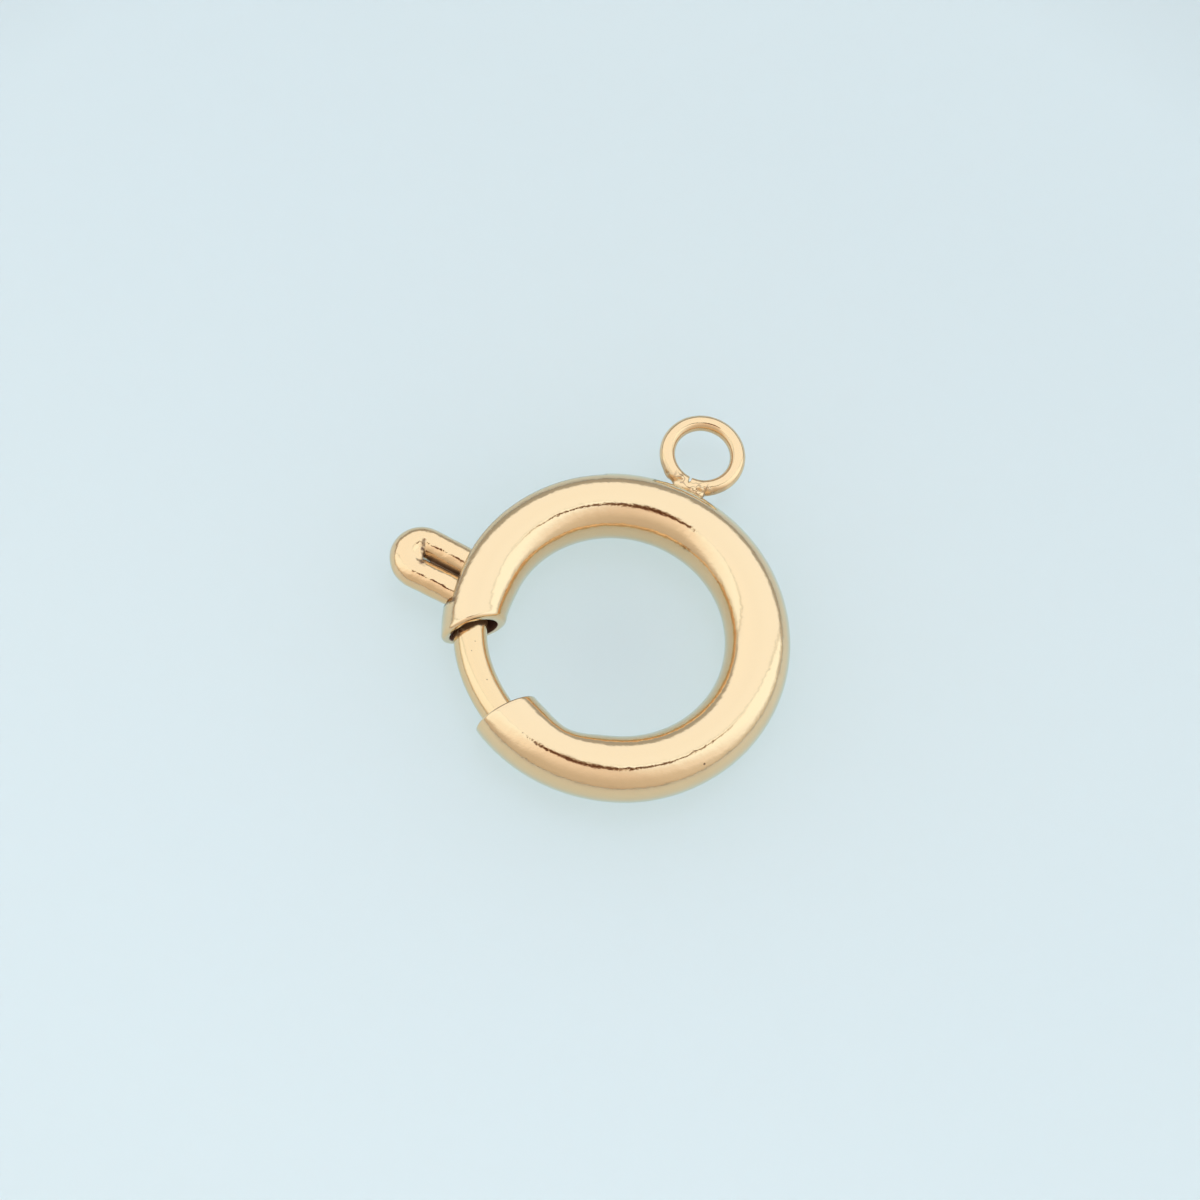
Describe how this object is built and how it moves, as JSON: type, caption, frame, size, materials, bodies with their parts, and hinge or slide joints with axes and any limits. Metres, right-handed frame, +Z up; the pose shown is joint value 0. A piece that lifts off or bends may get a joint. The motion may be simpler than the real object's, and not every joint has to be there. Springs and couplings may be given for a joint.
{
  "type": "spring ring clasp",
  "caption": "Round spring ring clasp lying flat: a bent tube with a soldered wire eye, and a curved sprung gate that a folded wire trigger pulls back into the tube.",
  "frame": {"origin": "where the ring's own axis meets the surface that the clasp lies on", "axes": "+Z up along the ring's axis, +Y from the ring's middle to the eye, and the trigger stands out towards -X"},
  "size_m": [0.0215, 0.0227, 0.0034],
  "materials": {
    "gold_plating": "polished brass with a pale gold plating",
    "spring_steel": "bright drawn wire"
  },
  "bodies": {
    "ring": {"ring": "gold_plating", "spring": "spring_steel"},
    "gate": {"gate": "gold_plating", "trigger": "gold_plating"}
  },
  "joints": [
    {"name": "gate_slide", "type": "hinge", "parent": "ring", "child": "gate", "pos_m": [0, 0, 0], "axis": [0, 0, -1], "range_deg": [0, 54], "stiffness_Nm_per_rad": 0.028, "springref_deg": -0.57, "deforming": ["spring"]}
  ]
}
